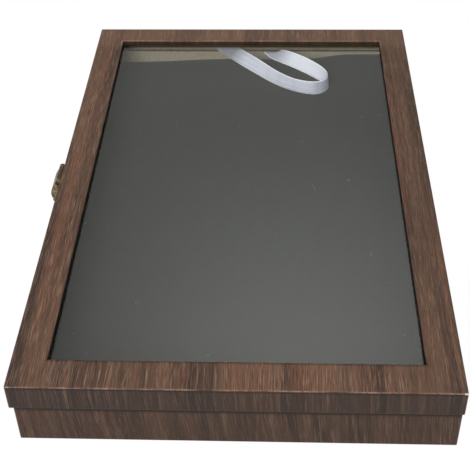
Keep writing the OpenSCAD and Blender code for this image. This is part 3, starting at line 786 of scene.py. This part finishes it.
# %% [markdown]
# ## Finishes for the solids that stay
#
# The pane, linings, boards and brass already have their right shapes, so they keep their solids and get
# a finish each. The record names a finish for every solid, so dressing them takes one name per finish.

# %% Dress by finish name
finish_of = {part["node"]: part["material_slot"] for part in frame["record"]["subparts"]}


def dress(slot, material):
    """Gives a material to every solid that the record lists under a finish."""
    names = [name for name, wanted in finish_of.items() if wanted == slot]
    for name in names:
        nodes[name].data.materials.clear()
        nodes[name].data.materials.append(material)
    print(slot, "on", len(names), "solids")


print(len(finish_of), "solids have a named finish")

# %% [markdown]
# The pane is a sheet of clear acrylic, held in the frame from behind. It mirrors a little, bends light a
# little and is faintly green. Following light that is bent through it onto the pad would take very many
# rays, so rays that carry shadow or scattered light go straight through, as through a thin tinted sheet.

# %% Clear acrylic
acrylic = new_finish("clear_acrylic")
place = acrylic.place_on_piece()
haze = acrylic.clouds(place, (30, 18, 30), 3, 0.6)
dust = acrylic.clouds(place, (700, 700, 700), 1).rise(0.79, 0.83)
sheet = acrylic.node("BsdfPrincipled", {}, {
    "Base Color": (0.97, 0.985, 0.98, 1),
    "Roughness": 0.015 + haze.rise(0.5, 0.8) * 0.03 + dust * 0.3,
    "IOR": 1.49,
    "Transmission Weight": 1.0,
})
open_way = acrylic.node("BsdfTransparent", {}, {"Color": (0.95, 0.96, 0.955, 1)})
shadow = acrylic.ray("Shadow")
passing = shadow.arithmetic("MAXIMUM", shadow, acrylic.ray("Diffuse"))
both = acrylic.node("MixShader", {}, {0: passing, 1: sheet, 2: open_way})
acrylic.node("OutputMaterial", {}, {"Surface": both})
dress("clear_acrylic", acrylic.owner)

# %% [markdown]
# Strips of uncoated card line the walls and hold the pane. Short fibres show as fine specks, and old card
# goes yellow in patches. The strips under the pane are painted darker than the linings, as painted shade
# from the lid's border above them. They lie higher, so the height of a point tells which of the two it
# is on.

# %% Lining card
card = new_finish("lining_card")
place = card.place_on_piece()
level = card.part(place, "Z")
fibre = card.clouds(place, (900, 900, 300), 3, 0.6)
stain = card.clouds(place, (22, 22, 60), 2)
tone = card.mix(fibre.rise(0.35, 0.7), colour(138, 128, 108), colour(155, 146, 126))
tone = card.mix(stain.rise(0.45, 0.75) * 0.4, tone, colour(126, 116, 94))
strip_shade = level.rise(strip_foot - 0.0002, strip_foot + 0.0006)
# Painted shade: the strips under the lid's border are painted darker.
tone = card.mix(strip_shade * 0.9, tone, colour(60, 55, 41))
dress("lining_card", card.body({
    "Base Color": tone,
    "Roughness": 0.72 + fibre * 0.15,
    "Specular IOR Level": 0.3,
    "Normal": card.bump(fibre, 0.0001, 0.5),
}))

# %% [markdown]
# The walls, floor and frame are cut from board that is pressed from wood fibre, in layers that lie flat.
# Paper hides most of it, but a library part may be opened or taken apart, so it gets a real finish too.

# %% Fibre board
board = new_finish("fibre_board")
place = board.place_on_piece()
chips = board.clouds(place, (480, 480, 1400), 4, 0.65)
cloudy = board.clouds(place, (30, 30, 30), 2)
tone = board.mix(chips.rise(0.34, 0.68), colour(126, 98, 72), colour(164, 132, 100))
tone = board.mix(cloudy.rise(0.4, 0.8) * 0.35, tone, colour(112, 86, 64))
dress("fibre_board", board.body({
    "Base Color": tone,
    "Roughness": 0.8 + chips * 0.1,
    "Specular IOR Level": 0.25,
    "Normal": board.bump(chips, 0.0002, 0.6),
}))

# %% [markdown]
# The pad is glued to grey board, pressed from waste paper. Bits of print in it leave flecks of many greys.

# %% Grey board under the pad
grey = new_finish("grey_board")
place = grey.place_on_piece()
flecks = grey.clouds(place, (1300, 1300, 1300), 3, 0.7)
tone = grey.mix(flecks.rise(0.35, 0.7), colour(104, 100, 92), colour(134, 130, 120))
dress("grey_board", grey.body({
    "Base Color": tone,
    "Roughness": 0.82 + flecks * 0.1,
    "Specular IOR Level": 0.25,
    "Normal": grey.bump(flecks, 0.0001, 0.5),
}))

# %% [markdown]
# A sheet of dark paper closes the underside. Besides its fine tooth it gets pale scuffs, which run long
# because a case is pushed along a table more often than it is turned.

# %% Foot paper
foot = new_finish("foot_paper")
place = foot.place_on_piece()
tooth = foot.clouds(place, (1100, 1100, 1100), 3, 0.6)
scuff = foot.clouds(place, (40, 12, 40), 3, 0.7)
tone = foot.mix(tooth.rise(0.3, 0.7), colour(50, 45, 42), colour(66, 60, 56))
tone = foot.mix(scuff.rise(0.55, 0.8) * 0.4, tone, colour(88, 81, 75))
dress("foot_paper", foot.body({
    "Base Color": tone,
    "Roughness": 0.74 + tooth * 0.15,
    "Specular IOR Level": 0.3,
    "Normal": foot.bump(tooth, 0.00012, 0.6),
}))

# %% [markdown]
# ## Antique brass
#
# The hinges, latch and nails are thin stamped brass, darkened in a bath and rubbed back by hand. The dark
# stays in patches, the rubbed metal is brighter and smoother. One noise decides which is which, and it
# drives the colour, the roughness and how metallic the surface is.

# %% Brass finish
brass = new_finish("antique_brass")
place = brass.place_on_piece()
bath = brass.clouds(place, (210, 210, 210), 4, 0.62)
scratch = brass.clouds(place, (1500, 300, 1500), 3, 0.6)
bright = (bath + scratch * 0.35).rise(0.52, 0.86)
tone = brass.mix(bright, colour(66, 57, 42), colour(150, 132, 98))
dress("antique_brass", brass.body({
    "Base Color": tone,
    "Metallic": 0.72 + bright * 0.25,
    "Roughness": 0.55 - bright * 0.24,
    "Normal": brass.bump(bath + scratch * 0.4, 0.0002, 0.6),
}))

# %% [markdown]
# ## Floor, world and lamp
#
# The case was photographed on plain white. The floor is pale and catches the shadow, and what the camera,
# a mirror or the pane sees of it is lifted to white.

# %% Floor
floor_half = 4.0
floor_gap = 0.0002
corner = np.array([[-1, -1, 0], [1, -1, 0], [1, 1, 0], [-1, 1, 0]]) * floor_half - [0, 0, floor_gap]
floor_mesh = bpy.data.meshes.new("studio_floor")
floor_mesh.from_pydata(corner.tolist(), [], [[0, 1, 2, 3]])
floor = bpy.data.objects.new("studio_floor", floor_mesh)
scene.collection.objects.link(floor)
white = new_finish("studio_white")
lit = white.node("BsdfDiffuse", {}, {"Color": (0.38, 0.38, 0.38, 1)})
glow = white.node("Emission", {}, {"Color": (1, 1, 1, 1), "Strength": 1.02})
seen = white.ray("Camera") + white.ray("Glossy") + white.ray("Transmission")
share = seen.rise(0.0, 1.0) * 0.97
both = white.node("MixShader", {}, {0: share, 1: lit, 2: glow})
white.node("OutputMaterial", {}, {"Surface": both})
floor_mesh.materials.append(white.owner)
print("floor is", 2 * floor_half, "m wide")

# %% [markdown]
# The world is a soft dome with a brighter strip that runs overhead, so the pane picks up a pale veil that
# grows towards the middle of its front. To the camera itself the dome is white, like the floor. One large
# lamp stands in front of the case. It faces the middle of the foot, and the pane doesn't mirror it.

# %% World and lamp
dome = bpy.data.worlds.new("studio_dome")
scene.world = dome
sky = Finish(dome)
direction = sky.node("TexCoord", {}, {}, "Generated")
overhead = sky.part(direction, "Z").rise(0.53, 0.8) * sky.part(direction, "X").near(0.03, 0.35)
light = sky.mix(overhead, (0.385, 0.388, 0.362, 1), (1.45, 1.46, 1.39, 1))
light = sky.mix(sky.ray("Camera"), light, (1, 1, 1, 1))
background = sky.node("Background", {}, {"Color": light, "Strength": 1.0})
sky.node("OutputWorld", {}, {"Surface": background})
lamp = bpy.data.lights.new("front_lamp", "AREA")
lamp.shape = "SQUARE"
lamp.size = 1.0
lamp.energy = 34.5
carrier = bpy.data.objects.new("front_lamp", lamp)
carrier.location = (-0.5, -1.4, 1.15)
carrier.rotation_euler = carrier.location.to_track_quat("Z", "Y").to_euler()
carrier.visible_glossy = False
carrier.visible_transmission = False
scene.collection.objects.link(carrier)
print("lamp of", lamp.energy, "W stands", round(carrier.location.length, 2), "m away")

# %% [markdown]
# ## Last step
#
# The picture is shown as plain screen colours.

# %% Screen colours
scene.view_settings.view_transform = "Standard"
